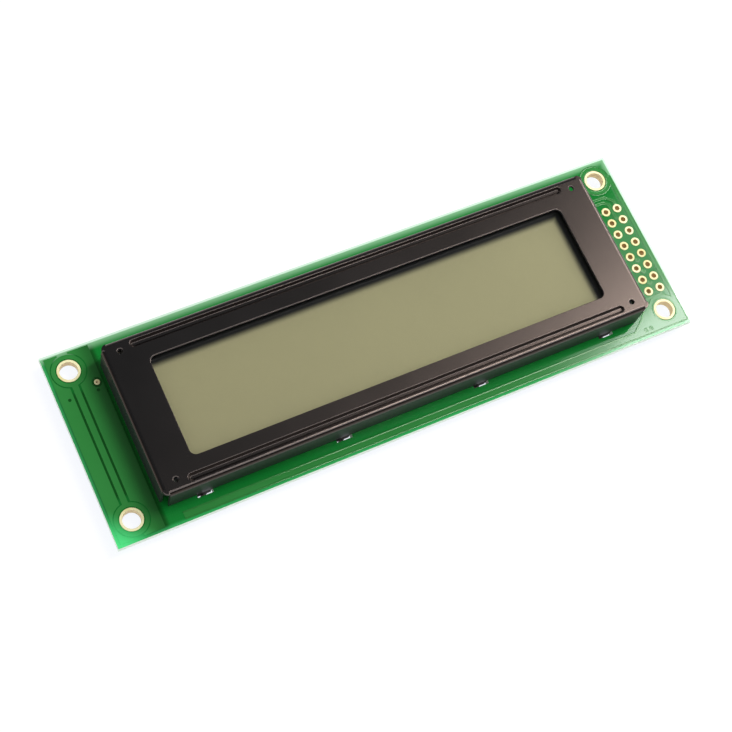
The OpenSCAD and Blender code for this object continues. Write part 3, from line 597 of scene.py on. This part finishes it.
outline, given = plan("printed_outline", {"Places": "Geometry", "Length": "Float", "Width": "Float",
                                          "Corner": "Float", "Line": "Float", "Film": "Float",
                                          "Ink": "Material"}, "Outlines")
drawing, section = [lay(outline, "GeometryNodeCurvePrimitiveQuadrilateral",
                        {"Width": given[wide], "Height": given[high]}).outputs[0]
                    for wide, high in (("Length", "Width"), ("Line", "Film"))]
rounded = lay(outline, "GeometryNodeFilletCurve", {"Curve": drawing, "Count": 12, "Radius": given["Corner"],
                                                   "Limit Radius": True}, mode="POLY")
drawn = lay(outline, "GeometryNodeCurveToMesh", {"Curve": rounded.outputs[0], "Profile Curve": section})
turn = lay(outline, "GeometryNodeInputNamedAttribute", {"Name": "turn"}, data_type="FLOAT")
spin = lay(outline, "ShaderNodeCombineXYZ", {"Z": turn.outputs[0]})
placed = lay(outline, "GeometryNodeInstanceOnPoints", {
    "Points": given["Places"], "Instance": drawn.outputs[0], "Rotation": spin.outputs[0]})
real = lay(outline, "GeometryNodeRealizeInstances", {"Geometry": placed.outputs[0]})
inked = lay(outline, "GeometryNodeSetMaterial", {"Geometry": real.outputs[0], "Material": given["Ink"]})
lay(outline, "NodeGroupOutput", {"Outlines": inked.outputs[0]})

ink, tree, shader = finish("legend_ink", Roughness=0.55)
tone = effect(tree, grain, Drift_Scale=600.0, Grain_Scale=5000.0)
feed(tree, shader, Base_Color=tint(tree, tone.outputs["Drift"], shade(212, 214, 206), shade(238, 238, 232)),
     Normal=bump(tree, tone.outputs["Grain"], 0.3, 0.02 * MM))


def print_outlines(name, places, sizes):
    """One plain mesh of outlines. Each place is a point and a quarter turn or none."""
    points = bpy.data.meshes.new(name + "_places")
    points.from_pydata([spot for spot, _ in places], [], [])
    turns = points.attributes.new("turn", "FLOAT", "POINT")
    turns.data.foreach_set("value", [turned for _, turned in places])
    piece = grow(name, outline, points, {**sizes, "Line": INK_LINE, "Film": INK_FILM, "Ink": ink})
    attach(piece, "root")


ink_z = board_low[2] - INK_FILM / 2
chips = []
for low, high in solids_of("chip_resistors") + solids_of("chip_capacitors"):
    middle = (low + high) / 2
    along_y = high.y - low.y > high.x - low.x
    chips.append(((middle.x, middle.y, ink_z), math.pi / 2 if along_y else 0.0))
print_outlines("chip_outlines", chips, CHIP_FRAME)
for drop in ("controller", "driver"):
    low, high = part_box(drop + "_blob")
    across = high[0] - low[0] + RING_ROOM
    middle = ((low[0] + high[0]) / 2, (low[1] + high[1]) / 2, ink_z)
    ring = {"Length": across, "Width": across, "Corner": across / 2}
    print_outlines(drop + "_ring", [(middle, 0.0)], ring)

# ---- The floor ----
# A plain pale table top that the tab tips stand on. To the eye, in gloss and through glass it is
# white where the lamps reach it, and keeps a faint cool shadow; from below it is clear, for the
# eye and for the lamp under it.
TABLE_SIZE = 4.0
bpy.ops.mesh.primitive_plane_add(size=TABLE_SIZE)
table_top = bpy.context.object
table_top.name = "table_top"
table = bpy.data.materials.new("table_white")
table.use_nodes = True
tree = table.node_tree
tree.nodes.clear()
path = lay(tree, "ShaderNodeLightPath").outputs
seen = work(tree, "MAXIMUM", work(tree, "MAXIMUM", path["Is Camera Ray"], path["Is Glossy Ray"]),
            path["Is Transmission Ray"])
white = lay(tree, "ShaderNodeEmission", {"Color": (0.86, 0.87, 0.95, 1.0), "Strength": 1.0})
matt = lay(tree, "ShaderNodeBsdfDiffuse", {"Color": (0.19, 0.18, 0.10, 1.0)})
shown = lay(tree, "ShaderNodeAddShader", {0: white.outputs[0], 1: matt.outputs[0]})
bounce = lay(tree, "ShaderNodeBsdfDiffuse", {"Color": (0.8, 0.8, 0.8, 1.0)})
top = lay(tree, "ShaderNodeMixShader", {0: seen, 1: bounce.outputs[0], 2: shown.outputs[0]})
behind = lay(tree, "ShaderNodeNewGeometry").outputs["Backfacing"]
through = work(tree, "MAXIMUM", path["Is Shadow Ray"], behind)
gone = lay(tree, "ShaderNodeBsdfTransparent")
ended = lay(tree, "ShaderNodeMixShader", {0: through, 1: top.outputs[0], 2: gone.outputs[0]})
lay(tree, "ShaderNodeOutputMaterial", {"Surface": ended.outputs[0]})
table_top.data.materials.append(table)

# ---- Light ----
# Two long, narrow lamps stand half a metre over the table on the right, and a weak one lies under it.
# The room gives an even light, looks dim overhead in gloss, and is white where the eye looks at it.
STRIP_HEIGHT = 0.528


def soft_box(name, at, size, power, turn=0.0, up=False):
    """A flat lamp that faces straight down, or up from under the table."""
    lamp = bpy.data.lights.new(name, "AREA")
    lamp.shape = "RECTANGLE"
    lamp.size, lamp.size_y = size
    lamp.energy = power
    held = bpy.data.objects.new(name, lamp)
    bpy.context.collection.objects.link(held)
    held.location = at
    held.rotation_euler = (math.pi if up else 0.0, 0.0, math.radians(turn))


soft_box("key_strip", (0.8366, 0.2695, STRIP_HEIGHT), (1.554, 0.1064), 8.3, turn=22.4)
soft_box("side_strip", (0.455, 0.221, STRIP_HEIGHT), (0.530, 0.1056), 0.35, turn=44.5)
soft_box("under_lamp", (0.0, 0.0, -0.6), (0.6, 0.6), 2.0, up=True)

room = bpy.data.worlds.new("room")
bpy.context.scene.world = room
room.use_nodes = True
tree = room.node_tree
tree.nodes.clear()
height = parts(tree, lay(tree, "ShaderNodeTexCoord").outputs["Generated"])["Z"]
path = lay(tree, "ShaderNodeLightPath").outputs
even = work(tree, "MULTIPLY", span(tree, height, -0.02, 0.02), span(tree, height, 0.0, 0.8, 1.0, 0.45))
mirrored = span(tree, height, 0.05, 0.6, 1.0, 0.1)
matt_share = work(tree, "SUBTRACT", 1.0, path["Is Glossy Ray"])
value = work(tree, "ADD", work(tree, "MULTIPLY", even, matt_share),
             work(tree, "MULTIPLY", mirrored, path["Is Glossy Ray"]))
seen = work(tree, "MAXIMUM", path["Is Camera Ray"], path["Is Transmission Ray"])
value = work(tree, "MAXIMUM", value, seen)
colour = lay(tree, "ShaderNodeCombineColor", {"Red": value, "Green": value, "Blue": value})
sky = lay(tree, "ShaderNodeBackground", {"Color": colour.outputs[0], "Strength": 1.0})
lay(tree, "ShaderNodeOutputWorld", {"Surface": sky.outputs[0]})

# ---- Camera ----
# High over the front left corner, turned so that the long side rises to the right.
camera = bpy.data.objects.new("camera", bpy.data.cameras.new("camera"))
bpy.context.collection.objects.link(camera)
camera.location = (-90.249 * MM, -80.535 * MM, 272.749 * MM)
camera.rotation_euler = Euler((math.radians(21.177), math.radians(-9.538), math.radians(-25.093)), "XYZ")
camera.data.lens = 79.64
camera.data.sensor_width = 36.0
camera.data.clip_start = 0.01
camera.data.clip_end = 20.0
bpy.context.scene.camera = camera
bpy.context.scene.view_settings.view_transform = "Standard"
